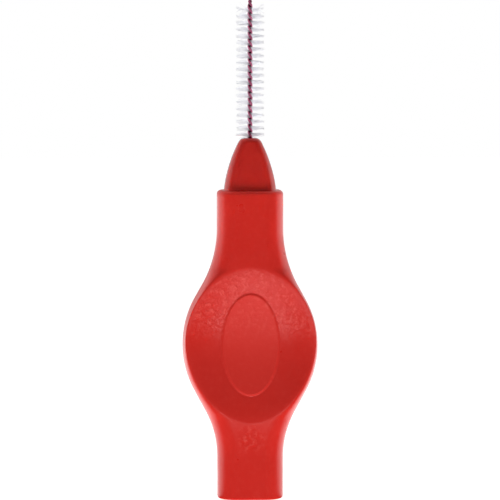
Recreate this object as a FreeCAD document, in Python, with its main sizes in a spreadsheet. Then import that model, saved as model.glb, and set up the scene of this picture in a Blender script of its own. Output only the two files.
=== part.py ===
import FreeCAD, Part
import Sketcher
import math
import os

Vector = FreeCAD.Vector

# Interdental brush, all sizes in millimetres and degrees.
# Origin at the middle of the stem end, Z runs up to the wire tip, the front thumb dish faces -Y.

SIZES = {
    # grip seen from the front
    "grip_length": 34.4,
    "neck_width": 7.36,
    "stem_width": 7.32,
    "bulb_width": 15.0,
    "bulb_height": 17.16,
    "bulb_radius": 10.4,
    "neck_flare_radius": 13.1,
    "neck_flank_length": 1.87,
    "stem_flare_radius": 11.3,
    "stem_flank_length": 2.62,
    # grip seen from the side
    "neck_depth": 5.2,
    "stem_depth": 5.0,
    "bulb_depth": 6.9,
    "swell_radius": 66,
    "swell_top": 31.5,
    "swell_bottom": 4.5,
    # roundings of the grip
    "edge_round": 2.2,
    "collar_round": 0.35,
    "stem_round": 0.3,
    # thumb dishes and the oval pads in them
    "dish_radius": 36,
    "dish_web": 3.55,
    "dish_rim_round": 1.0,
    "pad_width": 6.36,
    "pad_length": 11.54,
    "pad_rise": 0.15,
    "pad_round": 0.1,
    # hard core: the nose above the collar
    "nose_height": 5.78,
    "nose_width": 5.78,
    "nose_depth": 3.9,
    "nose_foot_round": 1.5,
    "nose_middle_width": 4.54,
    "nose_middle_depth": 3.4,
    "nose_middle_round": 1.25,
    "shoulder_drop": 0.55,
    "shoulder_width": 2.66,
    "shoulder_depth": 2.2,
    "shoulder_round": 0.9,
    "crown_drop": 0.2,
    "crown_width": 2.08,
    "crown_depth": 1.7,
    "crown_round": 0.72,
    "nose_tip_width": 1.24,
    "nose_tip_depth": 1.0,
    "nose_tip_round": 0.45,
    # hard core: the anchor inside the grip
    "mould_gap": 0.02,
    "shank_length": 4.4,
    "anchor_width": 4.4,
    "anchor_depth": 1.8,
    "anchor_length": 8.5,
    "anchor_round": 0.5,
    "eye_diameter": 2.0,
    "eye_spacing": 3.6,
    # twisted wire and filaments
    "wire_free_length": 15.32,
    "wire_embed": 6.0,
    "strand_radius": 0.105,
    "strand_gap": 0.025,
    "bore_clearance": 0.015,
    "bore_end_gap": 0.1,
    "brush_diameter": 3.2,
    "filament_radius": 0.026,
    "first_row_height": 0.36,
    "bare_tip": 1.13,
    "filaments_per_row": 10,
}

doc = FreeCAD.newDocument("interdental_brush")
sheet = doc.addObject("Spreadsheet::Sheet", "sizes")
for line_number, (alias, value) in enumerate(SIZES.items(), start=1):
    sheet.set("A%d" % line_number, alias)
    sheet.set("B%d" % line_number, str(value))
    sheet.setAlias("B%d" % line_number, alias)
doc.recompute()


def size(alias):
    return float(sheet.get(alias))


# Helpers for bodies and sketches

def origin_feature(body, role):
    for feature in body.Origin.OriginFeatures:
        if feature.Role == role:
            return feature
    raise ValueError("no origin feature " + role)


def new_body(name):
    return doc.addObject("PartDesign::Body", name)


def new_sketch(body, name, plane_role, height=None):
    sketch = body.newObject("Sketcher::SketchObject", name)
    sketch.AttachmentSupport = [(origin_feature(body, plane_role), "")]
    sketch.MapMode = "FlatFace"
    if height is not None:
        sketch.setExpression("AttachmentOffset.Base.z", height)
    return sketch


def bind(sketch, constraint, expression):
    index = sketch.addConstraint(constraint)
    sketch.setExpression("Constraints[%d]" % index, expression)


def draw_loop(sketch, start, steps):
    # A step is an end point, or a mid point and an end point for an arc.
    # Arcs are always drawn anticlockwise, as the sketch solver counts their ends that way.
    geometry = []
    here = start
    for step in steps:
        if len(step) == 1:
            geometry.append(Part.LineSegment(here, step[0]))
        elif (step[0] - here).cross(step[1] - step[0]).z > 0:
            geometry.append(Part.Arc(here, step[0], step[1]))
        else:
            geometry.append(Part.Arc(step[1], step[0], here))
        here = step[-1]
    return list(sketch.addGeometry(geometry))


def arc_middle(centre, radius, start, end):
    half_way = (start + end) * 0.5 - centre
    return centre + half_way * (radius / half_way.Length)


def loop_ends(sketch, index):
    # The point numbers where the loop enters and leaves a piece.
    geometry = sketch.Geometry[index]
    next_index = index + 1 if index + 1 < sketch.GeometryCount else 0
    following = sketch.Geometry[next_index]
    corners = (following.StartPoint, following.EndPoint)
    if min((geometry.EndPoint - corner).Length for corner in corners) < 1e-6:
        return 1, 2
    return 2, 1


def join_loop(sketch, indices, tangent_after=()):
    ends = [loop_ends(sketch, index) for index in indices]
    for place, index in enumerate(indices):
        follower = (place + 1) % len(indices)
        kind = "Tangent" if place in tangent_after else "Coincident"
        sketch.addConstraint(
            Sketcher.Constraint(kind, index, ends[place][1], indices[follower], ends[follower][0]))


def pad(body, name, sketch, length, symmetric=False, downwards=False):
    feature = body.newObject("PartDesign::Pad", name)
    feature.Profile = sketch
    feature.setExpression("Length", length)
    if symmetric:
        feature.SideType = "Symmetric"
    feature.Reversed = downwards
    doc.recompute()
    return feature


def pocket(body, name, sketch, length, symmetric=False):
    feature = body.newObject("PartDesign::Pocket", name)
    feature.Profile = sketch
    feature.setExpression("Length", length)
    if symmetric:
        feature.SideType = "Symmetric"
    doc.recompute()
    return feature


def mirror(body, name, originals, plane_role):
    feature = body.newObject("PartDesign::Mirrored", name)
    feature.Originals = originals
    feature.MirrorPlane = (origin_feature(body, plane_role), [""])
    body.Tip = feature
    doc.recompute()
    return feature


def fillet(body, name, base, radius, wanted):
    names = []
    for number, edge in enumerate(base.Shape.Edges, start=1):
        if wanted(edge):
            names.append("Edge%d" % number)
    feature = body.newObject("PartDesign::Fillet", name)
    feature.Base = (base, names)
    feature.setExpression("Radius", radius)
    doc.recompute()
    return feature


def middle_of(edge):
    return edge.valueAt((edge.FirstParameter + edge.LastParameter) / 2)


def slope_of(edge):
    return abs(edge.tangentAt((edge.FirstParameter + edge.LastParameter) / 2).z)


# Grip: soft handle, drawn as half a front outline and half a side outline

grip_body = new_body("grip_body")


def flank_slope(step_out, radii, straight):
    # The tilt of a straight flank between two arcs that together carry the outline out by step_out.
    reach = math.hypot(radii, straight)
    return math.acos((radii - step_out) / reach) - math.atan2(straight, radii)


def draw_front_outline(body):
    length = size("grip_length")
    bulb_r = size("bulb_radius")
    bulb = Vector(size("bulb_width") / 2 - bulb_r, size("bulb_height"), 0)

    def flare(half_width, radius, straight, up):
        # One flank, from the bulb to the straight side of the neck (up is 1) or of the stem (up is -1).
        slope = flank_slope(size("bulb_width") / 2 - half_width, bulb_r + radius, straight)
        outward = Vector(math.cos(slope), up * math.sin(slope), 0)
        away = Vector(-math.sin(slope), up * math.cos(slope), 0)
        bulb_end = bulb + outward * bulb_r
        flank_end = bulb_end + away * straight
        centre = flank_end + outward * radius
        side_end = Vector(half_width, centre.y, 0)
        return bulb_end, flank_end, arc_middle(centre, radius, flank_end, side_end), side_end

    stem = size("stem_width") / 2
    neck = size("neck_width") / 2
    stem_r = size("stem_flare_radius")
    neck_r = size("neck_flare_radius")
    stem_flank = size("stem_flank_length")
    neck_flank = size("neck_flank_length")
    bulb_low, low_flank, stem_bend, stem_end = flare(stem, stem_r, stem_flank, -1)
    bulb_high, high_flank, neck_bend, neck_end = flare(neck, neck_r, neck_flank, 1)

    sketch = new_sketch(body, "front_outline", "XZ_Plane")
    loop = draw_loop(sketch, Vector(0, 0, 0), [
        (Vector(stem, 0, 0),),
        (stem_end,),
        (stem_bend, low_flank),
        (bulb_low,),
        (bulb + Vector(bulb_r, 0, 0), bulb_high),
        (high_flank,),
        (neck_bend, neck_end),
        (Vector(neck, length, 0),),
        (Vector(0, length, 0),),
        (Vector(0, 0, 0),),
    ])
    bottom, stem_side, stem_arc, low_line, bulb_arc, high_line, neck_arc, neck_side, top, middle = loop
    join_loop(sketch, loop, tangent_after=(1, 2, 3, 4, 5, 6))
    sketch.addConstraint(Sketcher.Constraint("Coincident", bottom, 1, -1, 1))
    sketch.addConstraint(Sketcher.Constraint("Horizontal", bottom))
    sketch.addConstraint(Sketcher.Constraint("Horizontal", top))
    for upright in (stem_side, neck_side, middle):
        sketch.addConstraint(Sketcher.Constraint("Vertical", upright))
    bind(sketch, Sketcher.Constraint("DistanceX", bottom, 1, bottom, 2, stem), "sizes.stem_width / 2")
    bind(sketch, Sketcher.Constraint("DistanceX", top, 2, top, 1, neck), "sizes.neck_width / 2")
    bind(sketch, Sketcher.Constraint("DistanceY", middle, 2, middle, 1, length), "sizes.grip_length")
    bind(sketch, Sketcher.Constraint("Radius", stem_arc, stem_r), "sizes.stem_flare_radius")
    bind(sketch, Sketcher.Constraint("Radius", bulb_arc, bulb_r), "sizes.bulb_radius")
    bind(sketch, Sketcher.Constraint("Radius", neck_arc, neck_r), "sizes.neck_flare_radius")
    bind(sketch, Sketcher.Constraint("DistanceY", -1, 1, bulb_arc, 3, bulb.y), "sizes.bulb_height")
    bind(sketch, Sketcher.Constraint("DistanceX", bulb_arc, 3, -1, 1, -bulb.x),
         "sizes.bulb_radius - sizes.bulb_width / 2")
    bind(sketch, Sketcher.Constraint("Distance", low_line, stem_flank), "sizes.stem_flank_length")
    bind(sketch, Sketcher.Constraint("Distance", high_line, neck_flank), "sizes.neck_flank_length")
    return sketch


def draw_side_waste(body):
    # What is cut away behind the side outline of the grip.
    stem = size("stem_depth") / 2
    neck = size("neck_depth") / 2
    swell = size("bulb_depth") / 2
    swell_r = size("swell_radius")
    bulge = Vector(swell - swell_r, size("bulb_height"), 0)
    margin = 1.0
    outer = swell + margin

    def hollow(half_depth, end_height):
        # The hollow arc that leaves the straight end and meets the bulge without a corner.
        rise = swell - half_depth
        run = end_height - bulge.y
        radius = (rise * rise + run * run) / (2 * rise) - swell_r
        centre = Vector(half_depth + radius, end_height, 0)
        meeting = bulge + (centre - bulge) * (swell_r / (swell_r + radius))
        return centre, radius, meeting

    low_centre, low_r, low_meet = hollow(stem, size("swell_bottom"))
    high_centre, high_r, high_meet = hollow(neck, size("swell_top"))
    low_end = Vector(stem, low_centre.y, 0)
    high_end = Vector(neck, high_centre.y, 0)
    top = size("grip_length") + margin

    sketch = new_sketch(body, "side_waste", "YZ_Plane")
    loop = draw_loop(sketch, Vector(stem, -margin, 0), [
        (low_end,),
        (arc_middle(low_centre, low_r, low_end, low_meet), low_meet),
        (bulge + Vector(swell_r, 0, 0), high_meet),
        (arc_middle(high_centre, high_r, high_meet, high_end), high_end),
        (Vector(neck, top, 0),),
        (Vector(outer, top, 0),),
        (Vector(outer, -margin, 0),),
        (Vector(stem, -margin, 0),),
    ])
    stem_side, low_arc, bulge_arc, high_arc, neck_side, over, outside, under = loop
    join_loop(sketch, loop, tangent_after=(0, 1, 2, 3))
    for upright in (stem_side, neck_side, outside):
        sketch.addConstraint(Sketcher.Constraint("Vertical", upright))
    for level in (over, under):
        sketch.addConstraint(Sketcher.Constraint("Horizontal", level))
    bind(sketch, Sketcher.Constraint("DistanceX", -1, 1, stem_side, 2, stem), "sizes.stem_depth / 2")
    bind(sketch, Sketcher.Constraint("DistanceX", -1, 1, neck_side, 1, neck), "sizes.neck_depth / 2")
    bind(sketch, Sketcher.Constraint("DistanceY", -1, 1, stem_side, 2, low_end.y), "sizes.swell_bottom")
    bind(sketch, Sketcher.Constraint("DistanceY", -1, 1, neck_side, 1, high_end.y), "sizes.swell_top")
    bind(sketch, Sketcher.Constraint("Radius", bulge_arc, swell_r), "sizes.swell_radius")
    bind(sketch, Sketcher.Constraint("DistanceY", -1, 1, bulge_arc, 3, bulge.y), "sizes.bulb_height")
    bind(sketch, Sketcher.Constraint("DistanceX", bulge_arc, 3, -1, 1, -bulge.x),
         "sizes.swell_radius - sizes.bulb_depth / 2")
    bind(sketch, Sketcher.Constraint("DistanceX", -1, 1, outside, 1, outer), "sizes.bulb_depth / 2 + 1")
    bind(sketch, Sketcher.Constraint("DistanceY", outside, 2, -1, 1, margin), "1")
    bind(sketch, Sketcher.Constraint("DistanceY", -1, 1, outside, 1, top), "sizes.grip_length + 1")
    return sketch


half_grip = pad(grip_body, "half_grip", draw_front_outline(grip_body), "sizes.bulb_depth", symmetric=True)
both_halves = mirror(grip_body, "both_halves", [half_grip], "YZ_Plane")
back_cut = pocket(grip_body, "back_cut", draw_side_waste(grip_body), "3 * sizes.bulb_width", symmetric=True)
front_cut = mirror(grip_body, "front_cut", [back_cut], "XZ_Plane")
long_edges = fillet(grip_body, "long_edges", front_cut, "sizes.edge_round", lambda edge: slope_of(edge) > 0.5)
collar_edge = fillet(
    grip_body, "collar_edge", long_edges, "sizes.collar_round",
    lambda edge: edge.BoundBox.ZMin > size("grip_length") - 0.001)
stem_edge = fillet(
    grip_body, "stem_edge", collar_edge, "sizes.stem_round",
    lambda edge: edge.BoundBox.ZMax < 0.001)


def scoop(body, name, radius):
    # A ball that scoops the front face out; its middle lies straight in front of the bulb.
    ball = body.newObject("PartDesign::SubtractiveSphere", name)
    ball.AttachmentSupport = [(origin_feature(body, "XY_Plane"), "")]
    ball.MapMode = "FlatFace"
    ball.setExpression("Radius", radius)
    ball.setExpression("AttachmentOffset.Base.y", "-(sizes.dish_radius + sizes.dish_web / 2)")
    ball.setExpression("AttachmentOffset.Base.z", "sizes.bulb_height")
    doc.recompute()
    return ball


front_dish = scoop(grip_body, "front_dish", "sizes.dish_radius")
both_dishes = mirror(grip_body, "both_dishes", [front_dish], "XZ_Plane")


def on_dish_rim(edge):
    faces = both_dishes.Shape.ancestorsOfType(edge, Part.Face)
    balls = [face for face in faces if face.Surface.TypeId == "Part::GeomSphere"]
    return len(balls) == 1


dish_rims = fillet(grip_body, "dish_rims", both_dishes, "sizes.dish_rim_round", on_dish_rim)


def draw_oval(body):
    sketch = new_sketch(body, "pad_oval", "XZ_Plane")
    half_width = size("pad_width") / 2
    half_length = size("pad_length") / 2
    middle = Vector(0, size("bulb_height"), 0)
    oval = sketch.addGeometry(
        Part.Ellipse(middle + Vector(0, half_length, 0), middle + Vector(half_width, 0, 0), middle))
    sketch.exposeInternalGeometry(oval)
    long_axis, short_axis = oval + 1, oval + 2
    sketch.addConstraint(Sketcher.Constraint("PointOnObject", oval, 3, -2))
    sketch.addConstraint(Sketcher.Constraint("Vertical", long_axis))
    bind(sketch, Sketcher.Constraint("DistanceY", -1, 1, oval, 3, middle.y), "sizes.bulb_height")
    bind(sketch, Sketcher.Constraint("Distance", long_axis, 2 * half_length), "sizes.pad_length")
    bind(sketch, Sketcher.Constraint("Distance", short_axis, 2 * half_width), "sizes.pad_width")
    return sketch


pad_post = pad(grip_body, "pad_post", draw_oval(grip_body), "sizes.bulb_depth", symmetric=True)
front_pad = scoop(grip_body, "front_pad", "sizes.dish_radius - sizes.pad_rise")
both_pads = mirror(grip_body, "both_pads", [front_pad], "XZ_Plane")


def on_pad_rim(edge):
    faces = both_pads.Shape.ancestorsOfType(edge, Part.Face)
    raised = [face for face in faces if face.Surface.TypeId == "Part::GeomSphere"
              and abs(face.Surface.Radius - size("dish_radius") + size("pad_rise")) < 1e-6]
    return len(raised) == 1


pad_rims = fillet(grip_body, "pad_rims", both_pads, "sizes.pad_round", on_pad_rim)


# Hard core: nose above the collar, shank and eyed anchor inside the grip

core_body = new_body("core_body")
nose_top = size("grip_length") + size("nose_height")


def draw_block(body, name, height, half_width, half_depth, rounding):
    # A rectangle about the axis with rounded corners, at a height above the stem end.
    sketch = new_sketch(body, name, "XY_Plane", height)
    right_x = float(sketch.evalExpression(half_width))
    back_y = float(sketch.evalExpression(half_depth))
    radius = float(sketch.evalExpression(rounding))
    flat_x = right_x - radius
    flat_y = back_y - radius
    bow = radius * math.sqrt(0.5)
    loop = draw_loop(sketch, Vector(-flat_x, -back_y, 0), [
        (Vector(flat_x, -back_y, 0),),
        (Vector(flat_x + bow, -flat_y - bow, 0), Vector(right_x, -flat_y, 0)),
        (Vector(right_x, flat_y, 0),),
        (Vector(flat_x + bow, flat_y + bow, 0), Vector(flat_x, back_y, 0)),
        (Vector(-flat_x, back_y, 0),),
        (Vector(-flat_x - bow, flat_y + bow, 0), Vector(-right_x, flat_y, 0)),
        (Vector(-right_x, -flat_y, 0),),
        (Vector(-flat_x - bow, -flat_y - bow, 0), Vector(-flat_x, -back_y, 0)),
    ])
    front, first_corner, right, second_corner, back, third_corner, left, fourth_corner = loop
    join_loop(sketch, loop, tangent_after=range(8))
    for level in (front, back):
        sketch.addConstraint(Sketcher.Constraint("Horizontal", level))
    for upright in (right, left):
        sketch.addConstraint(Sketcher.Constraint("Vertical", upright))
    for corner in (second_corner, third_corner, fourth_corner):
        sketch.addConstraint(Sketcher.Constraint("Equal", first_corner, corner))
    sketch.addConstraint(Sketcher.Constraint("Symmetric", front, 1, back, 1, -1, 1))
    bind(sketch, Sketcher.Constraint("DistanceX", -1, 1, right, 1, right_x), half_width)
    bind(sketch, Sketcher.Constraint("DistanceY", -1, 1, back, 1, back_y), half_depth)
    bind(sketch, Sketcher.Constraint("Radius", first_corner, radius), rounding)
    return sketch


def loft(body, name, sections):
    feature = body.newObject("PartDesign::AdditiveLoft", name)
    feature.Profile = sections[0]
    feature.Sections = sections[1:]
    feature.Ruled = False
    doc.recompute()
    return feature


def add_nose(body):
    # A tapered flank from the foot on the collar to a shoulder, then a crown that rounds in to the tip.
    foot = draw_block(
        body, "nose_foot", "sizes.grip_length",
        "sizes.nose_width / 2", "sizes.nose_depth / 2", "sizes.nose_foot_round")
    middle = draw_block(
        body, "nose_middle", "sizes.grip_length + sizes.nose_height / 2",
        "sizes.nose_middle_width / 2", "sizes.nose_middle_depth / 2", "sizes.nose_middle_round")
    shoulder = draw_block(
        body, "nose_shoulder", "sizes.grip_length + sizes.nose_height - sizes.shoulder_drop",
        "sizes.shoulder_width / 2", "sizes.shoulder_depth / 2", "sizes.shoulder_round")
    crown = draw_block(
        body, "nose_crown", "sizes.grip_length + sizes.nose_height - sizes.crown_drop",
        "sizes.crown_width / 2", "sizes.crown_depth / 2", "sizes.crown_round")
    tip = draw_block(
        body, "nose_tip", "sizes.grip_length + sizes.nose_height",
        "sizes.nose_tip_width / 2", "sizes.nose_tip_depth / 2", "sizes.nose_tip_round")
    loft(body, "nose_flank", [foot, middle, shoulder])
    return loft(body, "nose_top", [shoulder, crown, tip])


def draw_eyes(body, name, radius):
    sketch = new_sketch(body, name, "XZ_Plane")
    middle = size("grip_length") - size("shank_length") - size("anchor_length") / 2
    offset = size("eye_spacing") / 2
    for sign, formula in ((1, "+ sizes.eye_spacing / 2"), (-1, "- sizes.eye_spacing / 2")):
        height = middle + sign * offset
        eye = sketch.addGeometry(Part.Circle(Vector(0, height, 0), Vector(0, 0, 1), size("eye_diameter") / 2))
        sketch.addConstraint(Sketcher.Constraint("PointOnObject", eye, 3, -2))
        bind(sketch, Sketcher.Constraint("DistanceY", -1, 1, eye, 3, height),
             "sizes.grip_length - sizes.shank_length - sizes.anchor_length / 2 " + formula)
        bind(sketch, Sketcher.Constraint("Radius", eye, size("eye_diameter") / 2), radius)
    return sketch


def add_anchor(body, prefix, shank_top, shank_height, grow):
    # Shank, flat anchor and its two eyes; grow is the gap all round, 0 for the core itself.
    shank_sketch = draw_block(
        body, prefix + "_shank_outline", shank_top,
        "sizes.nose_width / 2 - sizes.mould_gap + " + grow, "sizes.nose_depth / 2 - sizes.mould_gap + " + grow,
        "sizes.nose_foot_round - sizes.mould_gap + " + grow)
    pad(body, prefix + "_shank", shank_sketch, shank_height, downwards=True)
    anchor_sketch = draw_block(
        body, prefix + "_anchor_outline", "sizes.grip_length - sizes.shank_length",
        "sizes.anchor_width / 2 + " + grow, "sizes.anchor_depth / 2 + " + grow, "sizes.anchor_round + " + grow)
    pad(body, prefix + "_anchor", anchor_sketch, "sizes.anchor_length + " + grow, downwards=True)
    eye_sketch = draw_eyes(body, prefix + "_eye_circles", "sizes.eye_diameter / 2 - " + grow)
    return pocket(body, prefix + "_eyes", eye_sketch, "2 * sizes.nose_depth", symmetric=True)


add_nose(core_body)
add_anchor(core_body, "core", "sizes.grip_length", "sizes.shank_length", "0")


def draw_bore(body):
    sketch = new_sketch(body, "bore_circle", "XY_Plane", "sizes.grip_length + sizes.nose_height")
    radius = 2 * size("strand_radius") + size("filament_radius") + size("strand_gap") + size("bore_clearance")
    bore = sketch.addGeometry(Part.Circle(Vector(0, 0, 0), Vector(0, 0, 1), radius))
    sketch.addConstraint(Sketcher.Constraint("Coincident", bore, 3, -1, 1))
    bind(sketch, Sketcher.Constraint("Radius", bore, radius),
         "2 * sizes.strand_radius + sizes.filament_radius + sizes.strand_gap + sizes.bore_clearance")
    return sketch


wire_bore = pocket(core_body, "wire_bore", draw_bore(core_body), "sizes.wire_embed + sizes.bore_end_gap")

# The hollow that the core fills in the grip, the mould gap larger all round
socket_body = new_body("socket_body")
add_anchor(socket_body, "socket", "sizes.grip_length + 1", "sizes.shank_length + 1", "sizes.mould_gap")

grip = doc.addObject("Part::Cut", "grip")
grip.Base = grip_body
grip.Tool = socket_body
grip.Refine = True
core_body.Label = "nose_core"
doc.recompute()


# Twisted wire: one wire, folded in a hairpin at the tip, its two legs wound left-handed round the axis

ROW_COUNT = 20
strand = size("strand_radius")
filament = size("filament_radius")
leg_offset = strand + filament + size("strand_gap")
first_row = nose_top + size("first_row_height")
row_step = (size("wire_free_length") - size("first_row_height") - size("bare_tip")) / (ROW_COUNT - 1)
twist_pitch = 2 * row_step
turn_rate = -2 * math.pi / twist_pitch
bend_start = nose_top + size("wire_free_length") - leg_offset - strand
quarter = twist_pitch / 4
quarter_count = int((bend_start - nose_top + size("wire_embed")) / quarter)
BEND_STEPS = 8


def row_angle(height):
    # Filaments lie along X at the middle of the first row and turn with the twist.
    return turn_rate * (height - first_row)


def leg_point(height, side):
    angle = row_angle(height) + math.pi / 2
    place = Vector(math.cos(angle) * leg_offset * side, math.sin(angle) * leg_offset * side, height)
    heading = Vector(-math.sin(angle) * leg_offset * turn_rate * side,
                     math.cos(angle) * leg_offset * turn_rate * side, 1)
    heading.normalize()
    return place, heading


def bend_point(turn):
    # Over the tip the legs run on a ball of their own offset; turn is 0 at one leg and pi at the other.
    height = bend_start + leg_offset * math.sin(turn)
    angle = row_angle(height) + math.pi / 2
    reach = leg_offset * math.cos(turn)
    angle_rate = turn_rate * reach
    place = Vector(reach * math.cos(angle), reach * math.sin(angle), height)
    inward = -leg_offset * math.sin(turn)
    heading = Vector(inward * math.cos(angle) - reach * math.sin(angle) * angle_rate,
                     inward * math.sin(angle) + reach * math.cos(angle) * angle_rate, reach)
    heading.normalize()
    return place, heading


def two_arcs(start, end):
    # Two arcs that leave the start and reach the end along their headings.
    here, leaving = start
    there, arriving = end
    span = there - here
    both = leaving + arriving
    spread = 2 * (1 - leaving.dot(arriving))
    across = span.dot(both)
    reach = (math.sqrt(across * across + spread * span.dot(span)) - across) / spread
    first_corner = here + leaving * reach
    second_corner = there - arriving * reach
    joint = (first_corner + second_corner) * 0.5
    return [corner_arc(here, first_corner, joint), corner_arc(joint, second_corner, there)]


def corner_arc(start, corner, end):
    chord_middle = (start + end) * 0.5
    rise = corner - chord_middle
    half_chord = (end - start).Length / 2
    quarter_turn = math.atan2(rise.Length, half_chord) / 2
    top = chord_middle + rise * (half_chord * math.tan(quarter_turn) / rise.Length)
    return Part.Arc(start, top, end).toShape()


def hairpin_path():
    stations = []
    for step in range(quarter_count):
        stations.append(leg_point(bend_start - (quarter_count - step) * quarter, 1))
    for step in range(BEND_STEPS + 1):
        stations.append(bend_point(math.pi * step / BEND_STEPS))
    for step in range(1, quarter_count + 1):
        place, heading = leg_point(bend_start - step * quarter, -1)
        stations.append((place, heading * -1))
    arcs = []
    for start, end in zip(stations, stations[1:]):
        arcs.extend(two_arcs(start, end))
    return Part.Wire(arcs), stations[0]


path, path_start = hairpin_path()
wire_section = Part.Wire(Part.Circle(path_start[0], path_start[1], strand).toShape())
wire = doc.addObject("Part::Feature", "twisted_wire")
wire.Shape = path.makePipeShell([wire_section], True, False)


# Bristle rows: one for each half turn of the twist, six-sided filaments clamped between the legs

FILAMENT_SIDES = 6
filament_count = int(size("filaments_per_row"))


def filament_solid(height):
    angle = row_angle(height)
    along = Vector(math.cos(angle), math.sin(angle), 0)
    across = Vector(-math.sin(angle), math.cos(angle), 0)
    up = Vector(0, 0, 1)
    start = up * height - along * (size("brush_diameter") / 2)
    corners = []
    for side in range(FILAMENT_SIDES + 1):
        turn = 2 * math.pi * side / FILAMENT_SIDES
        corners.append(start + across * (filament * math.cos(turn)) + up * (filament * math.sin(turn)))
    return Part.Face(Part.makePolygon(corners)).extrude(along * size("brush_diameter"))


rows = []
for row in range(ROW_COUNT):
    row_middle = first_row + row * row_step
    filaments = []
    for place in range(filament_count):
        height = row_middle + ((place + 0.5) / filament_count - 0.5) * row_step
        filaments.append(filament_solid(height))
    row_object = doc.addObject("Part::Feature", "bristle_row_%02d" % (row + 1))
    row_object.Shape = Part.makeCompound(filaments)
    rows.append(row_object)

doc.recompute()


# Check every object, then write one file for each piece

for item in doc.Objects:
    if "Invalid" in item.State or "Error" in item.State:
        raise RuntimeError(item.Name + " did not build")

os.makedirs("parts", exist_ok=True)
for piece in [grip, core_body, wire] + rows:
    shape = piece.Shape
    if shape.isNull() or not shape.isValid() or not shape.Solids:
        raise RuntimeError(piece.Label + " has no valid solid")
    shape.exportStep("parts/%s.step" % piece.Label)
    print(piece.Label, len(shape.Solids), round(shape.Volume, 4))
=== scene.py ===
import bpy
import math
import numpy as np
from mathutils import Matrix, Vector


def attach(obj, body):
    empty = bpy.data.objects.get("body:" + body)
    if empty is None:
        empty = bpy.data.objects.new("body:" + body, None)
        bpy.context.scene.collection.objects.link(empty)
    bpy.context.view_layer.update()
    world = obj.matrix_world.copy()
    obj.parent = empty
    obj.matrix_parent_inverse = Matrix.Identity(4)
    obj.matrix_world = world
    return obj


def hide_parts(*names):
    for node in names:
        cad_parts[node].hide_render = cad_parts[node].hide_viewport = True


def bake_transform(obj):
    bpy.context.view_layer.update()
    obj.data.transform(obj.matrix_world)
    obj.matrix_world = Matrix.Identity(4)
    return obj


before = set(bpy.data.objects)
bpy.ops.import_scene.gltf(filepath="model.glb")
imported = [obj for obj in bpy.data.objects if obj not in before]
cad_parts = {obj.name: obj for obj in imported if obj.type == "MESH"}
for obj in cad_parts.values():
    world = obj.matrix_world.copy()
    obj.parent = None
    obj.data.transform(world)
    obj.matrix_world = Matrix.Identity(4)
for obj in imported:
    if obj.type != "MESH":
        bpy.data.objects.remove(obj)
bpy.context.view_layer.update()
print("frame loaded:", len(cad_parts), "nodes")

mm = 0.001  # shapes are worked out in millimetres and stored in metres
tiny = 1e-6  # keeps a division away from zero
leastFlat = 1e-4  # rounded corners leave at least this much of half a side straight
creaseAngle = 50  # in degrees; edges that turn less are shaded smooth


# mesh helpers

def smoothStep(t):
    t = np.clip(t, 0.0, 1.0)
    return t * t * (3.0 - 2.0 * t)


def softRise(value, low, high):
    # 0 below low, 1 above high, with a smooth rise between
    return smoothStep((value - low) / (high - low))


def mixed(first, second, share):
    return first + (second - first) * share


def softMinimum(a, b, softness):
    overlap = np.maximum(softness - np.abs(a - b), 0.0) / softness
    return np.minimum(a, b) - overlap ** 2 * softness / 4


def gridFaces(rows, columns):
    # quads of a grid whose columns close on themselves, row after row
    start = np.arange(rows - 1)[:, None] * columns
    column = np.arange(columns)[None, :]
    nextColumn = (column + 1) % columns
    quads = np.stack([start + column, start + nextColumn,
                      start + columns + nextColumn, start + columns + column], axis=-1)
    return quads.reshape(-1, 4)


def buildMesh(name, points, quads, caps=(), creased=False):
    # points in mm, quads as an index array, caps as rings of indices closed by one flat face each
    mesh = bpy.data.meshes.new(name)
    loops = [quads.reshape(-1)] + [np.asarray(cap) for cap in caps]
    capCounts = np.array([len(cap) for cap in caps], dtype=int)
    counts = np.concatenate([np.full(len(quads), 4), capCounts])
    corners = np.concatenate(loops).astype(np.int32)
    starts = np.concatenate([[0], np.cumsum(counts)[:-1]]).astype(np.int32)
    mesh.vertices.add(len(points))
    mesh.vertices.foreach_set("co", (np.asarray(points) * mm).astype(np.float32).ravel())
    mesh.loops.add(len(corners))
    mesh.loops.foreach_set("vertex_index", corners)
    mesh.polygons.add(len(counts))
    mesh.polygons.foreach_set("loop_start", starts)
    mesh.polygons.foreach_set("loop_total", counts.astype(np.int32))
    mesh.polygons.foreach_set("use_smooth", np.ones(len(counts), dtype=bool))
    mesh.update(calc_edges=True)
    mesh.validate()
    if creased:
        mesh.set_sharp_from_angle(angle=math.radians(creaseAngle))
    piece = bpy.data.objects.new(name, mesh)
    bpy.context.scene.collection.objects.link(piece)
    return piece


def markPoints(piece, name, values):
    # one number for each point, which the piece's material reads by name
    mark = piece.data.attributes.new(name, "FLOAT", "POINT")
    mark.data.foreach_set("value", np.asarray(values).ravel().astype(np.float32))


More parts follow.
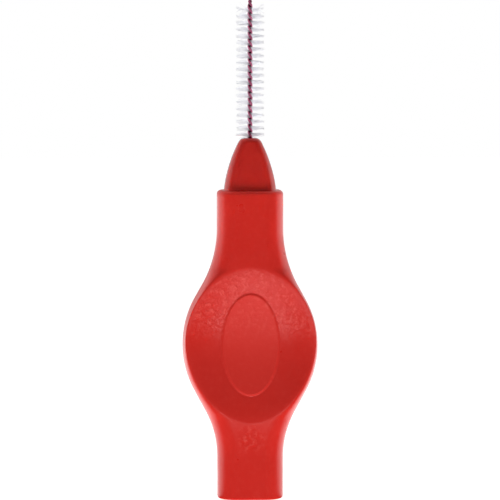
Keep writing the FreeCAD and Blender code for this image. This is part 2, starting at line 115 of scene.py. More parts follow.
def roundedSection(halfWidth, halfDepth, roundX, roundY, counts):
    # a rectangle with rounded corners walked anticlockwise from the right side: straight sides joined by
    # quarter ellipses; the sizes are columns, one row of points each
    side, turn, front = counts
    width = np.asarray(halfWidth, float)[:, None]
    depth = np.asarray(halfDepth, float)[:, None]
    cornerX = np.minimum(np.asarray(roundX, float)[:, None], width - leastFlat)
    cornerY = np.minimum(np.asarray(roundY, float)[:, None], depth - leastFlat)
    flatX = width - cornerX
    flatY = depth - cornerY
    sideT = np.linspace(-1.0, 1.0, side, endpoint=False)[None, :]
    frontT = np.linspace(1.0, -1.0, front, endpoint=False)[None, :]
    angle = np.linspace(0.0, np.pi / 2, turn, endpoint=False)[None, :]
    cosine, sine = np.cos(angle), np.sin(angle)
    halfX = np.concatenate([width + 0 * sideT, flatX + cornerX * cosine,
                            flatX * frontT, -flatX - cornerX * sine], axis=1)
    halfY = np.concatenate([flatY * sideT, flatY + cornerY * sine,
                            depth + 0 * frontT, flatY + cornerY * cosine], axis=1)
    # the other half is the same one turned half round
    return np.concatenate([halfX, -halfX], axis=1), np.concatenate([halfY, -halfY], axis=1)


# soft grip

grip = dict(
    length=34.4, neckWidth=7.36, stemWidth=7.32, bulbWidth=15.0, bulbHeight=17.16, bulbRadius=10.4,
    neckFlare=13.1, neckFlank=1.87, stemFlare=11.3, stemFlank=2.62,
    neckDepth=5.2, stemDepth=5.0, lipDepth=5.74, waistDepth=5.0, lipReach=7.2,
    swellTop=31.5, swellBottom=4.8,
    edgeRound=2.2, edgeBlend=0.6, collarRound=0.45, stemRound=0.3, faceShare=0.5,
    dishMiddle=17.36, dishLow=8.55, dishHigh=26.17, dishDepth=0.98, dishSteep=1.5, dishLip=(0.10, 0.35),
    crestHalf=7.2, crestMiddle=17.9, crestEnds=1.55, crestSoft=0.4,
    crestSides=(1.9, 2.0), crestChange=(13.0, 22.0),
    padWidth=6.36, padLength=11.3, padRise=0.11, padEdge=0.14, padHeart=0.3, moat=0.015, moatWidth=0.13,
    socketGap=0.03, socketDepth=1.2,
    # where the skin's grain bump goes, and the highlight glints painted into its colour
    grainAndGlintLeast=0.15, grainAndGlintDish=(17.0, 21.0), grainAndGlintRim=0.125, grainAndGlintPad=0.5,
    grainAndGlintPatch=(0.0, 6.94), grainAndGlintReach=(0.8, 1.9),
    columns=(8, 26, 92), fineStep=0.11, fineBelow=0.9, fineAbove=0.7, coarseStep=0.28, roundRows=7,
)


def flareHalfWidth(z, end):
    # bulb circle, straight flank, then a hollow circle that runs out into the straight side of this end
    side, hollow, flank = grip[end + "Width"] / 2, grip[end + "Flare"], grip[end + "Flank"]
    bulb, bulbHalf = grip["bulbRadius"], grip["bulbWidth"] / 2
    centreX = bulbHalf - bulb
    radii = bulb + hollow
    lean = math.acos((radii - bulbHalf + side) / math.hypot(radii, flank))
    slope = lean - math.atan2(flank, radii)
    rise = np.abs(z - grip["bulbHeight"])
    flankStart = bulb * math.sin(slope)
    flankEnd = flankStart + flank * math.cos(slope)
    straightStart = flankEnd + hollow * math.sin(slope)
    onBulb = centreX + np.sqrt(np.maximum(bulb ** 2 - rise ** 2, 0.0))
    onFlank = centreX + bulb * math.cos(slope) - (rise - flankStart) * math.tan(slope)
    onHollow = side + hollow - np.sqrt(np.maximum(hollow ** 2 - (straightStart - rise) ** 2, 0.0))
    return np.select([rise < flankStart, rise < flankEnd, rise < straightStart],
                     [onBulb, onFlank, onHollow], side)


def gripHalfWidth(z):
    return np.where(z > grip["bulbHeight"], flareHalfWidth(z, "neck"), flareHalfWidth(z, "stem"))


def gripHalfDepth(z):
    # straight stem and neck that swell to a lip near each end of the dish, with a shallow waist between
    waist, lip = grip["waistDepth"] / 2, grip["lipDepth"] / 2
    stem, neck = grip["stemDepth"] / 2, grip["neckDepth"] / 2
    lowLip, highLip = grip["dishMiddle"] - grip["lipReach"], grip["dishMiddle"] + grip["lipReach"]
    between = mixed(waist, lip, smoothStep(np.abs(z - grip["dishMiddle"]) / grip["lipReach"]))
    below = mixed(stem, lip, softRise(z, grip["swellBottom"], lowLip))
    above = mixed(lip, neck, softRise(z, highLip, grip["swellTop"]))
    return np.select([z < lowLip, z > highLip], [below, above], between)


def crestShape(z):
    # what the height adds to the egg's sum, 0 at its widest line and 1 at its ends, rounded at that line so
    # that no crease shows there; and the power that rounds its sides
    reach = np.where(z > grip["crestMiddle"], grip["dishHigh"] - grip["crestMiddle"],
                     grip["crestMiddle"] - grip["dishLow"])
    along = np.abs(z - grip["crestMiddle"]) / reach
    soft, power = grip["crestSoft"], grip["crestEnds"] / 2
    least = soft ** (2 * power)
    rise = ((along ** 2 + soft ** 2) ** power - least) / ((1 + soft ** 2) ** power - least)
    return rise, mixed(*grip["crestSides"], softRise(z, *grip["crestChange"]))


def crestHalfWidth(z):
    # the dish's rim seen from the front is an egg: (x / half width) ^ sides + rise = 1
    rise, sides = crestShape(z)
    return grip["crestHalf"] * np.maximum(1 - rise, 0.0) ** (1 / sides)


def dishDepth(x, z):
    # the dish sinks from the egg's rim to its middle, level at the rim and then steeper; the rim is crisp
    # at the lower end and soft at the upper
    rise, sides = crestShape(z)
    egg = (np.abs(x) / grip["crestHalf"]) ** sides + rise
    inward = np.maximum(1 - egg ** grip["dishSteep"], 0.0)
    lip = mixed(*grip["dishLip"], softRise(z, *grip["crestChange"]))
    return grip["dishDepth"] * (1 + lip) * inward ** 2 / (inward + lip)


def padShare(x, z):
    # 1 on the raised oval, 0 outside, with a soft edge padEdge wide, half way up on the oval's line; the
    # middle of a shallow moat runs one moatWidth outside that line
    dz = z - grip["dishMiddle"]
    reach = np.sqrt((x / (grip["padWidth"] / 2)) ** 2 + (dz / (grip["padLength"] / 2)) ** 2)
    fromEdge = (1.0 - reach) * np.hypot(x, dz) / np.maximum(reach, tiny)
    inside = np.where(reach < grip["padHeart"], 1.0, fromEdge)
    return smoothStep(inside / grip["padEdge"] + 0.5), np.exp(-(inside / grip["moatWidth"] + 1.0) ** 2)


def grainAndGlintShare(x, z, dish, pad):
    # the share of the skin's real grain bump and of the highlight glints painted into its colour: most round
    # the top of the dish, less on the oval, and in a small patch on the stem
    inDish = smoothStep(dish / (grip["dishDepth"] * grip["grainAndGlintRim"]))
    upper = softRise(z, *grip["grainAndGlintDish"]) * inDish * (1 - grip["grainAndGlintPad"] * pad)
    patchX, patchZ = grip["grainAndGlintPatch"]
    near, far = grip["grainAndGlintReach"]
    patch = smoothStep((far - np.hypot(x - patchX, z - patchZ)) / (far - near))
    return mixed(grip["grainAndGlintLeast"], 1, np.maximum(upper, patch))


def gripHeights():
    stemEnd, collarEnd = grip["stemRound"], grip["length"] - grip["collarRound"]
    fineLow, fineHigh = grip["dishLow"] - grip["fineBelow"], grip["dishHigh"] + grip["fineAbove"]
    low = np.arange(stemEnd, fineLow, grip["coarseStep"])
    fine = np.arange(fineLow, fineHigh, grip["fineStep"])
    high = np.linspace(fineHigh, collarEnd, int((collarEnd - fineHigh) / grip["coarseStep"]))
    return np.concatenate([low, fine, high])


def makeGrip():
    turn = np.linspace(0.0, np.pi / 2, grip["roundRows"], endpoint=False)
    stemZ = grip["stemRound"] * (1 - np.cos(turn))
    stemInset = grip["stemRound"] * (1 - np.sin(turn))
    bodyZ = gripHeights()
    collarZ = (grip["length"] - grip["collarRound"] * (1 - np.cos(turn)))[::-1]
    collarInset = (grip["collarRound"] * (1 - np.sin(turn)))[::-1]
    z = np.concatenate([stemZ, bodyZ, collarZ])
    inset = np.concatenate([stemInset, 0 * bodyZ, collarInset])
    steady = np.clip(z, grip["stemRound"], grip["length"] - grip["collarRound"])
    width, depth = gripHalfWidth(steady), gripHalfDepth(steady)
    edgeRound = np.full(len(z), grip["edgeRound"])
    roundX = softMinimum(edgeRound, width - crestHalfWidth(steady), grip["edgeBlend"])
    x, y = roundedSection(width - inset, depth - inset, roundX - inset, edgeRound - inset, grip["columns"])
    zGrid = np.repeat(z[:, None], x.shape[1], axis=1)
    pad, moat = padShare(x, zGrid)
    dish = dishDepth(x, zGrid)
    relief = grip["padRise"] * pad - grip["moat"] * moat - dish
    grain = grainAndGlintShare(x, zGrid, dish, pad)
    onFace = np.abs(y) > grip["faceShare"] * depth[:, None]
    y = y + np.sign(y) * relief * onFace
    # the collar's flat top runs in to the foot of the nose and down into its socket
    gap = grip["socketGap"]
    footWidth = [nose["footWidth"] / 2 + gap] * 2
    footDepth = [nose["footDepth"] / 2 + gap] * 2
    footRound = [nose["footRound"] + gap] * 2
    footX, footY = roundedSection(footWidth, footDepth, footRound, footRound, grip["columns"])
    footZ = np.array([grip["length"], grip["length"] - grip["socketDepth"]])
    x = np.concatenate([x, footX])
    y = np.concatenate([y, footY])
    zGrid = np.concatenate([zGrid, np.repeat(footZ[:, None], x.shape[1], axis=1)])
    pad = np.concatenate([pad, np.zeros(footX.shape)])
    grain = np.concatenate([grain, np.zeros(footX.shape)])
    rows, columns = x.shape
    points = np.stack([x, y, zGrid], axis=-1).reshape(-1, 3)
    bottom = np.arange(columns)[::-1]
    socketFloor = (rows - 1) * columns + np.arange(columns)
    piece = buildMesh("softGrip", points, gridFaces(rows, columns), [bottom, socketFloor], creased=True)
    markPoints(piece, "padShare", pad)
    markPoints(piece, "grainAndGlintShare", grain)
    return piece


# hard nose

nose = dict(
    height=5.78, footWidth=5.78, footDepth=3.9, footRound=1.5,
    middleWidth=4.54, middleDepth=3.4, middleRound=1.25,
    shoulderDrop=0.55, shoulderWidth=2.66, shoulderDepth=2.2, shoulderRound=0.9,
    tipWidth=1.2, tipDepth=0.96, tipRound=0.42, shank=1.0, shankInset=0.02,
    boreRadius=0.276, boreDepth=0.9, columns=(10, 18, 24), flankRows=44, crownRows=14,
)


def noseOutline(foot, middle, shoulder, tip):
    # flank: a parabola through foot, middle and shoulder; crown: a bowed curve that leaves the shoulder
    # along the flank and comes in level to the tip
    top, drop = nose["height"], nose["shoulderDrop"]
    heights = np.array([0.0, top / 2, top - drop])
    curve = np.polyfit(heights, np.array([foot, middle, shoulder]), 2)
    rise = np.linspace(0.0, top - drop, nose["flankRows"], endpoint=False)
    lean = np.polyval(np.polyder(curve), top - drop)
    t = np.linspace(0.0, 1.0, nose["crownRows"])
    corner = shoulder + lean * drop
    crown = shoulder * (1 - t) ** 2 + corner * 2 * t * (1 - t) + tip * t ** 2
    crownRise = top - drop * (1 - t) ** 2
    return np.concatenate([rise, crownRise]), np.concatenate([np.polyval(curve, rise), crown])


def makeNose():
    levels = ("foot", "middle", "shoulder", "tip")
    rise, width = noseOutline(*[nose[level + "Width"] / 2 for level in levels])
    rise, depth = noseOutline(*[nose[level + "Depth"] / 2 for level in levels])
    rise, corner = noseOutline(*[nose[level + "Round"] for level in levels])
    inset = nose["shankInset"]
    width = np.concatenate([np.full(2, nose["footWidth"] / 2 - inset), width])
    depth = np.concatenate([np.full(2, nose["footDepth"] / 2 - inset), depth])
    corner = np.concatenate([np.full(2, nose["footRound"] - inset), corner])
    z = grip["length"] + np.concatenate([[-nose["shank"], 0.0], rise])
    x, y = roundedSection(width, depth, corner, corner, nose["columns"])
    # the flat tip runs in to the wire's bore and down into it
    around = np.arctan2(y[-1] / depth[-1], x[-1] / width[-1])
    boreX = np.repeat((nose["boreRadius"] * np.cos(around))[None, :], 2, axis=0)
    boreY = np.repeat((nose["boreRadius"] * np.sin(around))[None, :], 2, axis=0)
    top = grip["length"] + nose["height"]
    x = np.concatenate([x, boreX])
    y = np.concatenate([y, boreY])
    z = np.concatenate([z, [top, top - nose["boreDepth"]]])
    rows, columns = x.shape
    points = np.stack([x, y, np.repeat(z[:, None], columns, axis=1)], axis=-1).reshape(-1, 3)
    foot = np.arange(columns)[::-1]
    boreFloor = (rows - 1) * columns + np.arange(columns)
    return buildMesh("hardNose", points, gridFaces(rows, columns), [foot, boreFloor], creased=True)


# twisted wire

noseTop = grip["length"] + nose["height"]
wire = dict(
    strandRadius=0.14, legOffset=0.138, pitch=1.4558, freeLength=15.32, hidden=0.8, firstRow=0.36,
    stepsPerTurn=26, bendSteps=20, sides=14, grooveShade=(0.5, -0.05),
)


def rowAngle(z):
    # filaments lie along X at the first row and turn left-handed with the twist
    return -2 * np.pi / wire["pitch"] * (z - noseTop - wire["firstRow"])


def makeWire():
    # one wire: up a helix, over the tip on a ball of the legs' own offset, and down the opposite helix
    bendStart = noseTop + wire["freeLength"] - wire["legOffset"] - wire["strandRadius"]
    legLength = bendStart - noseTop + wire["hidden"]
    steps = int(legLength / wire["pitch"] * wire["stepsPerTurn"])
    legZ = np.linspace(noseTop - wire["hidden"], bendStart, steps, endpoint=False)
    over = np.linspace(0.0, np.pi, wire["bendSteps"])
    z = np.concatenate([legZ, bendStart + wire["legOffset"] * np.sin(over), legZ[::-1]])
    reach = wire["legOffset"] * np.concatenate([np.ones(steps), np.cos(over), -np.ones(steps)])
    angle = rowAngle(z) + np.pi / 2
    spine = np.stack([reach * np.cos(angle), reach * np.sin(angle), z], axis=-1)
    along = np.gradient(spine, axis=0)
    along /= np.linalg.norm(along, axis=1, keepdims=True)
    across = np.stack([-np.sin(angle), np.cos(angle), 0 * angle], axis=-1)
    across -= along * np.sum(across * along, axis=1, keepdims=True)
    across /= np.linalg.norm(across, axis=1, keepdims=True)
    other = np.cross(along, across)
    turn = np.linspace(0.0, 2 * np.pi, wire["sides"], endpoint=False)[None, :, None]
    outward = np.cos(turn) * across[:, None, :] + np.sin(turn) * other[:, None, :]
    rings = spine[:, None, :] + wire["strandRadius"] * outward
    rows, columns = rings.shape[:2]
    start = np.arange(columns)[::-1]
    end = (rows - 1) * columns + np.arange(columns)
    piece = buildMesh("coatedWire", rings.reshape(-1, 3), gridFaces(rows, columns), [start, end])
    # painted shade in the groove: where a strand's skin faces the other strand, away from the leg's own side,
    # its coat is painted dark as the shade between the strands
    heart = np.stack([0 * z, 0 * z, np.minimum(z, bendStart)], axis=-1)
    away = (spine - heart) / wire["legOffset"]
    facing = np.sum(outward * away[:, None, :], axis=-1)
    shallow, deep = wire["grooveShade"]
    markPoints(piece, "grooveShadeShare", smoothStep((shallow - facing) / (shallow - deep)))
    return piece


# bristle rows

bristles = dict(
    rows=20, perRow=14, diameter=3.2, radius=0.019, spanPoints=9, sides=4, bunch=0.74, fan=0.66,
    jitter=0.03, tilt=0.025, swing=0.06, bend=0.04, lengthSpread=0.06, strayTip=5.0, strayRoot=1.5, seed=7,
)
draws = np.random.default_rng(bristles["seed"])


def makeBristleRow(number):
    # every filament is a thin tube through the axis; each half leans and curves a little by itself, and
    # more so in the first and the last row
    count, sides = bristles["perRow"], bristles["sides"]
    rowStep = wire["pitch"] / 2
    middle = noseTop + wire["firstRow"] + number * rowStep
    offset = ((np.arange(count) + 0.5) / count - 0.5) * rowStep
    z = middle + offset * bristles["bunch"]
    strays = {0: bristles["strayRoot"], bristles["rows"] - 1: bristles["strayTip"]}
    stray = strays.get(number, 1.0)
    angle = rowAngle(middle + offset * bristles["fan"]) + draws.normal(0.0, bristles["jitter"], count)
    half = bristles["diameter"] / 2 * (1 - bristles["lengthSpread"] * draws.random((count, 2)))
    tilt = draws.normal(0.0, bristles["tilt"] * stray, (count, 2))
    swing = draws.normal(0.0, bristles["swing"], (count, 2))
    bend = draws.normal(0.0, bristles["bend"] * stray, (count, 2))
    span = np.linspace(-1.0, 1.0, bristles["spanPoints"])[None, :]
    side = np.repeat((span > 0).astype(int), count, axis=0)
    pick = np.repeat(np.arange(count)[:, None], bristles["spanPoints"], axis=1)
    outer = np.abs(span)
    distance = span * half[pick, side]
    lift = np.abs(distance) * (tilt[pick, side] * outer + bend[pick, side] * outer ** 2)
    drift = np.abs(distance) * swing[pick, side] * outer
    forward = np.stack([np.cos(angle), np.sin(angle), 0 * angle], axis=-1)[:, None, :]
    sideways = np.stack([-np.sin(angle), np.cos(angle), 0 * angle], axis=-1)[:, None, :]
    upward = np.array([0.0, 0.0, 1.0])[None, None, :]
    shrink = 1 / np.sqrt(1 + (drift / np.maximum(np.abs(distance), tiny)) ** 2)
    spine = (distance * shrink)[..., None] * forward
    spine = spine + (drift * shrink)[..., None] * sideways + lift[..., None] * upward
    spine[..., 2] += z[:, None]
    spine[..., 2] = np.minimum(spine[..., 2], noseTop + wire["freeLength"] - bristles["radius"])
    turn = np.linspace(0.0, 2 * np.pi, sides, endpoint=False)[None, None, :, None]
    around = np.cos(turn) * sideways[:, :, None, :] + np.sin(turn) * upward[:, :, None, :]
    points = spine[:, :, None, :] + bristles["radius"] * around
    perFilament = bristles["spanPoints"] * sides
    firsts = np.arange(count) * perFilament
    quads = gridFaces(bristles["spanPoints"], sides)[None, :, :] + firsts[:, None, None]
    starts = [first + np.arange(sides)[::-1] for first in firsts]
    ends = [first + perFilament - sides + np.arange(sides) for first in firsts]
    name = "bristleRow%02d" % (number + 1)
    return buildMesh(name, points.reshape(-1, 3), quads.reshape(-1, 4), starts + ends)


# node helpers

def setInput(tree, socket, value):
    # another node's output is linked, anything else is stored as the socket's own value
    if isinstance(value, bpy.types.NodeSocket):
        tree.links.new(value, socket)
    else:
        socket.default_value = value


def noiseNode(tree, scale, detail=3.0, roughness=0.55):
    coordinates = tree.nodes.new("ShaderNodeTexCoord")
    noise = tree.nodes.new("ShaderNodeTexNoise")
    noise.inputs["Scale"].default_value = scale
    noise.inputs["Detail"].default_value = detail
    noise.inputs["Roughness"].default_value = roughness
    tree.links.new(coordinates.outputs["Object"], noise.inputs["Vector"])
    return noise.outputs["Fac"]


def rampNode(tree, source, places, colours):
    ramp = tree.nodes.new("ShaderNodeValToRGB")
    elements = ramp.color_ramp.elements
    for extra in range(len(places) - 2):
        elements.new(0.5)  # anywhere between the two that it starts with
    for element, place, colour in zip(elements, places, colours):
        element.position = place
        element.color = (*colour, 1.0)
    tree.links.new(source, ramp.inputs["Fac"])
    return ramp.outputs["Color"]


def rangeNode(tree, source, low, high, fromLow=0.3, fromHigh=0.7):
    # maps the source's range, which for noise is mostly 0.3 to 0.7, onto low to high
    remap = tree.nodes.new("ShaderNodeMapRange")
    remap.inputs["From Min"].default_value = fromLow
    remap.inputs["From Max"].default_value = fromHigh
    remap.inputs["To Min"].default_value = low
    remap.inputs["To Max"].default_value = high
    tree.links.new(source, remap.inputs["Value"])
    return remap.outputs["Result"]


def mathNode(tree, operation, *values):
    node = tree.nodes.new("ShaderNodeMath")
    node.operation = operation
    for socket, value in zip(node.inputs, values):
        setInput(tree, socket, value)
    return node.outputs["Value"]


def mixNode(tree, kind, share, first, second):
    node = tree.nodes.new("ShaderNodeMix")
    node.data_type = kind
    setInput(tree, node.inputs["Factor"], share)
    setInput(tree, node.inputs["A"], first)
    setInput(tree, node.inputs["B"], second)
    return node.outputs["Result"]


def attributeNode(tree, name):
    node = tree.nodes.new("ShaderNodeAttribute")
    node.attribute_name = name
    return node.outputs["Fac"]


def addBump(tree, shader, source, strength, height):
    bump = tree.nodes.new("ShaderNodeBump")
    setInput(tree, bump.inputs["Strength"], strength)
    bump.inputs["Distance"].default_value = height
    tree.links.new(source, bump.inputs["Height"])
    tree.links.new(bump.outputs["Normal"], shader.inputs["Normal"])


def splitPlace(tree, kind):
    place = tree.nodes.new("ShaderNodeTexCoord")
    split = tree.nodes.new("ShaderNodeSeparateXYZ")
    tree.links.new(place.outputs[kind], split.inputs["Vector"])
    return split.outputs


# materials; cloud, patches and grain give a noise's scale, detail and roughness

def newMaterial(name):
    material = bpy.data.materials.new(name)
    material.use_nodes = True
    tree = material.node_tree
    return material, tree, tree.nodes["Principled BSDF"]


def softRedMaterial():
    look = dict(deep=(0.52, 0.014, 0.008), plain=(0.53, 0.015, 0.009), worn=(0.54, 0.016, 0.010),
                # the oval's colour is painted paler: partly its own finish, partly painted sheen
                cloud=(420.0, 4.0), places=(0.32, 0.5, 0.72), padTintAndSheen=(0.55, 0.021, 0.014),
                grain=(2200.0, 4.0, 0.6), grainHeight=0.0001,
                # the paler red below is painted in fine specks as highlight glints on the grain
                paintedGlint=(0.72, 0.10, 0.08), paintedGlintShare=0.38, paintedGlintRange=(0.5, 0.68),
                patches=(260.0,), satin=(0.27, 0.36), padRough=0.42, shine=0.5, padShine=0.26)
    material, tree, shader = newMaterial("softRed")
    pad = attributeNode(tree, "padShare")
    mottled = attributeNode(tree, "grainAndGlintShare")
    cloud = noiseNode(tree, *look["cloud"])
    skin = rampNode(tree, cloud, look["places"], (look["deep"], look["plain"], look["worn"]))
    # the raised oval takes its paler colour, partly its own finish and partly painted sheen
    tint = mixNode(tree, "RGBA", pad, skin, (*look["padTintAndSheen"], 1.0))
    grain = noiseNode(tree, *look["grain"])
    # painted highlight: the skin is painted paler in fine specks where the grain share is high, as glints on
    # its grain
    paintedGlints = rangeNode(tree, grain, 0.0, look["paintedGlintShare"], *look["paintedGlintRange"])
    paintedGlintShare = mathNode(tree, "MULTIPLY", paintedGlints, mottled)
    paintedGlinted = mixNode(tree, "RGBA", paintedGlintShare, tint, (*look["paintedGlint"], 1.0))
    tree.links.new(paintedGlinted, shader.inputs["Base Color"])
    satin = rangeNode(tree, noiseNode(tree, *look["patches"]), *look["satin"])
    tree.links.new(mixNode(tree, "FLOAT", pad, satin, look["padRough"]), shader.inputs["Roughness"])
    shine = rangeNode(tree, pad, look["shine"], look["padShine"], 0.0, 1.0)
    tree.links.new(shine, shader.inputs["Specular IOR Level"])
    addBump(tree, shader, grain, mottled, look["grainHeight"])
    return material


def hardRedMaterial():
    # a darker red than the grip's: partly the core's own colour, partly painted shade that offsets the nose
    # lamp's light
    look = dict(deep=(0.40, 0.013, 0.009), plain=(0.45, 0.015, 0.010), cloud=(600.0,), places=(0.35, 0.65),
                patches=(800.0,), satin=(0.16, 0.26), grain=(2600.0,), grainStrength=0.5, grainHeight=0.00003)
    material, tree, shader = newMaterial("hardRed")
    cloud = noiseNode(tree, *look["cloud"])
    skin = rampNode(tree, cloud, look["places"], (look["deep"], look["plain"]))
    tree.links.new(skin, shader.inputs["Base Color"])
    satin = rangeNode(tree, noiseNode(tree, *look["patches"]), *look["satin"])
    tree.links.new(satin, shader.inputs["Roughness"])
    addBump(tree, shader, noiseNode(tree, *look["grain"]), look["grainStrength"], look["grainHeight"])
    return material


def raspberryMaterial():
    # the groove colour is painted shade between the strands
    look = dict(grooveShade=(0.06, 0.008, 0.018), deep=(0.36, 0.08, 0.16), plain=(0.62, 0.20, 0.32),
                cloud=(2400.0,), places=(0.35, 0.65), gloss=(0.12, 0.25), metal=0.5)
    material, tree, shader = newMaterial("raspberryCoat")
    cloud = noiseNode(tree, *look["cloud"])
    coat = rampNode(tree, cloud, look["places"], (look["deep"], look["plain"]))
    # painted shade: the coat is painted near black in the grooves between the strands
    tint = mixNode(tree, "RGBA", attributeNode(tree, "grooveShadeShare"), coat, (*look["grooveShade"], 1.0))
    tree.links.new(tint, shader.inputs["Base Color"])
    tree.links.new(rangeNode(tree, cloud, *look["gloss"]), shader.inputs["Roughness"])
    shader.inputs["Metallic"].default_value = look["metal"]
    return material


def nylonMaterial():
    look = dict(shade=(0.70, 0.70, 0.75), plain=(0.84, 0.84, 0.88), cloud=(3000.0, 2.0), places=(0.35, 0.65),
                gloss=(0.30, 0.45), clearness=0.6)
    material, tree, shader = newMaterial("whiteNylon")
    cloud = noiseNode(tree, *look["cloud"])
    strand = rampNode(tree, cloud, look["places"], (look["shade"], look["plain"]))
    tree.links.new(strand, shader.inputs["Base Color"])
    tree.links.new(rangeNode(tree, cloud, *look["gloss"]), shader.inputs["Roughness"])
    shader.inputs["Transmission Weight"].default_value = look["clearness"]
    return material


softRed = softRedMaterial()
hardRed = hardRedMaterial()
raspberry = raspberryMaterial()
nylon = nylonMaterial()
print("materials made")


# put the pieces on their bodies

softGrip = makeGrip()
softGrip.data.materials.append(softRed)
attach(softGrip, "handle")
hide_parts("grip")
print("grip made:", len(softGrip.data.polygons), "faces")

hardNose = makeNose()
hardNose.data.materials.append(hardRed)
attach(hardNose, "handle")
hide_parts("nose_core")
print("nose made:", len(hardNose.data.polygons), "faces")

coatedWire = makeWire()
coatedWire.data.materials.append(raspberry)
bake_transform(coatedWire)
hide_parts("twisted_wire")
print("wire made:", len(coatedWire.data.polygons), "faces")

for number in range(bristles["rows"]):
    row = makeBristleRow(number)
    row.data.materials.append(nylon)
    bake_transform(row)
    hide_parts("bristle_row_%02d" % (number + 1))
print("bristle rows made:", bristles["rows"])


# floor, light and camera

studio = dict(
    floorHalf=0.6, shade=0.24, glow=0.95,  # what the camera sees: a grey that takes the shadow, and its glow
    paper=0.4, card=0.12,  # the floor's own grey, and its dark part in reflections
    mirrorGlow=0.8,  # more glow for reflections
    backdrop=1.0, fill=0.33,  # the room for the camera, and for plain light
    walls=((-0.25, 0.04), (0.08, 1.0), (1.0, 1.0)),  # (way, brightness) along Y, front to back
    ceiling=(0.35, 0.80, 0.6),  # reflections fade between these heights of the way, to this share
    darkCard=(-0.26, 0.08),  # in reflections the floor in front is dark up to these slopes of Y over X
    greyCard=(-0.1, 0.1, 0.26, 0.35),  # behind, a little left: lean of X over Y, near, far, share of light
    leastRun=0.0001,  # the shortest run that a slope or lean is divided by
)


def seenRays(tree, names):
    # 1 for rays of the named kinds, 0 for the others
    path = tree.nodes.new("ShaderNodeLightPath")
    seen = path.outputs[names[0]]
    for name in names[1:]:
        seen = mathNode(tree, "MAXIMUM", seen, path.outputs[name])
    return seen


def greyCard(tree, way):
    # 1, but less where a reflection leads back and a little to the left, so the left rim stays red
    middle, near, far, share = studio["greyCard"]
    run = mathNode(tree, "MAXIMUM", way["Y"], studio["leastRun"])
    lean = mathNode(tree, "DIVIDE", way["X"], run)
    away = mathNode(tree, "ABSOLUTE", mathNode(tree, "SUBTRACT", lean, middle))
    return rangeNode(tree, away, share, 1.0, near, far)


def makeFloor():
    # pale paper: white to the camera with the object's shadow on it, white beside the object in reflections
    size = studio["floorHalf"]
    corners = np.array([(-size, -size, 0), (size, -size, 0), (size, size, 0), (-size, size, 0)]) / mm
    floor = buildMesh("paleFloor", corners, np.array([[0, 1, 2, 3]]))
    material = bpy.data.materials.new("palePaper")
    material.use_nodes = True
    tree = material.node_tree
    tree.nodes.clear()
    mirror = seenRays(tree, ["Is Glossy Ray"])
    paper = tree.nodes.new("ShaderNodeBsdfDiffuse")
    drop = mathNode(tree, "MULTIPLY", mirror, studio["paper"] - studio["card"])
    tree.links.new(mathNode(tree, "SUBTRACT", studio["paper"], drop), paper.inputs["Color"])
    shade = tree.nodes.new("ShaderNodeBsdfDiffuse")
    shade.inputs["Color"].default_value = (*[studio["shade"]] * 3, 1.0)
    glow = tree.nodes.new("ShaderNodeEmission")
    extra = mathNode(tree, "MULTIPLY", mirror, studio["mirrorGlow"])
    tree.links.new(mathNode(tree, "ADD", extra, studio["glow"]), glow.inputs["Strength"])
    white = tree.nodes.new("ShaderNodeAddShader")
    tree.links.new(shade.outputs["BSDF"], white.inputs[0])
    tree.links.new(glow.outputs["Emission"], white.inputs[1])
    place = splitPlace(tree, "Object")
    run = mathNode(tree, "MAXIMUM", mathNode(tree, "ABSOLUTE", place["X"]), studio["leastRun"])
    beside = rangeNode(tree, mathNode(tree, "DIVIDE", place["Y"], run), 0.0, 1.0, *studio["darkCard"])
    bright = mathNode(tree, "MULTIPLY", beside, greyCard(tree, place))
    mirrored = mathNode(tree, "MULTIPLY", mirror, bright)
    seen = mathNode(tree, "MAXIMUM", seenRays(tree, ["Is Camera Ray", "Is Transmission Ray"]), mirrored)
    mix = tree.nodes.new("ShaderNodeMixShader")
    tree.links.new(seen, mix.inputs["Fac"])
    tree.links.new(paper.outputs["BSDF"], mix.inputs[1])
    tree.links.new(white.outputs["Shader"], mix.inputs[2])
    output = tree.nodes.new("ShaderNodeOutputMaterial")
    tree.links.new(mix.outputs["Shader"], output.inputs["Surface"])
    floor.data.materials.append(material)
    floor.visible_shadow = False  # light from below comes through it, as on a light table


def makeWorld():
    # a white room, dark straight in front: reflections find white at the sides and behind
    world = bpy.data.worlds.new("whiteRoom")
    world.use_nodes = True
    world.cycles.sampling_method = "NONE"
    tree = world.node_tree
    background = tree.nodes["Background"]
    way = splitPlace(tree, "Generated")
    frontToBack = rangeNode(tree, way["Y"], 0.0, 1.0, -1.0, 1.0)
    places = [(turn + 1) / 2 for turn, white in studio["walls"]]
    walls = rampNode(tree, frontToBack, places, [(white, white, white) for turn, white in studio["walls"]])
    low, high, share = studio["ceiling"]
    ceiling = rangeNode(tree, way["Z"], 1.0, share, low, high)
    bright = mathNode(tree, "MULTIPLY", mathNode(tree, "MULTIPLY", walls, ceiling), greyCard(tree, way))
    lit = mixNode(tree, "FLOAT", seenRays(tree, ["Is Glossy Ray"]), studio["fill"], bright)
    direct = seenRays(tree, ["Is Camera Ray", "Is Transmission Ray"])
    background.inputs["Color"].default_value = (1.0, 1.0, 1.0, 1.0)
    tree.links.new(mixNode(tree, "FLOAT", direct, lit, studio["backdrop"]), background.inputs["Strength"])
    bpy.context.scene.world = world


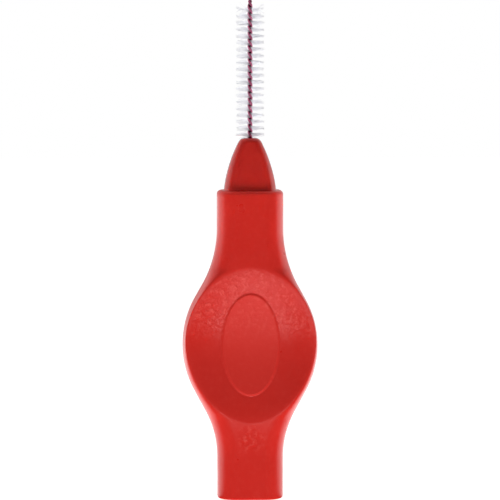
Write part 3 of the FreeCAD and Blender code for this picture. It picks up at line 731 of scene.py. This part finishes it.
lamps = dict(
    lowFront=dict(place=(0.03, -0.26, -0.34), aim=(-0.03, 0.26, 0.36), radiance=16.9,
                  size=(0.30, 0.15), glossy=False),
    lowBack=dict(place=(-0.03, 0.26, -0.34), aim=(0.03, -0.26, 0.36), radiance=14.0,
                 size=(0.30, 0.15), glossy=False),
    front=dict(place=(0.0, -0.35, 0.12), aim=(0, 0.35, -0.09), radiance=2.6,
               size=(0.10, 0.10), glossy=False),
    rightSide=dict(place=(0.16, 0.03, 0.07), aim=(-0.16, -0.02, -0.045), radiance=4.5,
                   size=(0.10, 0.10), glossy=False),
    leftSide=dict(place=(-0.16, 0.03, 0.07), aim=(0.16, -0.02, -0.045), radiance=6.0,
                  size=(0.10, 0.10), glossy=False),
    overhead=dict(place=(0.0, 0.0, 0.40), aim=(0, 0, -1), radiance=8.0,
                  size=(0.12, 0.12), glossy=False),
    noseFill=dict(place=(0.0, -0.09, 0.11), aim=(0, 0.088, -0.0715), radiance=130.0,
                  size=(0.02, 0.02), spread=8.0, glossy=False),
    dishSheen=dict(place=(0.004, -0.032, 0.003), aim=(0, 0.87, 0.5), radiance=13.0,
                   size=(0.018, 0.006), spread=44.0, diffuse=False),
    stemSheen=dict(place=(0.002, -0.029, 0.0012), aim=(0, 0.98, 0.2), radiance=0.15,
                   size=(0.010, 0.002), spread=30.0, diffuse=False),
    rightStrip=dict(place=(0.15, 0.03, 0.045), aim=(-1, -0.2, 0), radiance=0.6, size=(0.12, 0.09)),
    leftStrip=dict(place=(-0.15, 0.03, 0.045), aim=(1, -0.2, 0), radiance=0.4, size=(0.12, 0.09)),
)


def addLamp(name, place, aim, radiance, size, spread=180.0, diffuse=True, glossy=True):
    # a soft panel of the given radiance straight ahead, its power worked out from its area and spread
    lamp = bpy.data.lights.new(name, "AREA")
    lamp.shape = "RECTANGLE"
    lamp.size, lamp.size_y = size
    halfSpread = math.radians(spread) / 2
    lamp.energy = radiance * math.pi * size[0] * size[1] * (1 - halfSpread / math.tan(halfSpread))
    lamp.spread = math.radians(spread)
    lamp.cycles.use_multiple_importance_sampling = glossy
    holder = bpy.data.objects.new(name, lamp)
    holder.location = place
    holder.rotation_euler = Vector(aim).to_track_quat("-Z", "Y").to_euler()
    holder.visible_camera = False
    holder.visible_diffuse = diffuse
    holder.visible_glossy = glossy
    bpy.context.scene.collection.objects.link(holder)


view = dict(
    azimuth=-2.5, elevation=5.0, distance=0.42, target=(0.0, 0.0, 27.72), pixelsPerMm=9.0, pixels=500,
    sensor=36.0, clipStart=0.01,
)


def makeCamera():
    camera = bpy.data.cameras.new("photoCamera")
    camera.sensor_fit = "HORIZONTAL"
    camera.sensor_width = view["sensor"]
    camera.lens = view["sensor"] * view["distance"] / (view["pixels"] / view["pixelsPerMm"] * mm)
    camera.clip_start = view["clipStart"]
    holder = bpy.data.objects.new("photoCamera", camera)
    around, above = math.radians(view["azimuth"]), math.radians(view["elevation"])
    target = Vector(view["target"]) * mm
    level = math.cos(above)
    back = Vector((math.sin(around) * level, -math.cos(around) * level, math.sin(above)))
    holder.location = target + back * view["distance"]
    holder.rotation_euler = (-back).to_track_quat("-Z", "Y").to_euler()
    bpy.context.scene.collection.objects.link(holder)
    bpy.context.scene.camera = holder


makeFloor()
makeWorld()
for lampName, lampValues in lamps.items():
    addLamp(lampName, **lampValues)
makeCamera()
bpy.context.scene.view_settings.view_transform = "Standard"
print("studio set")
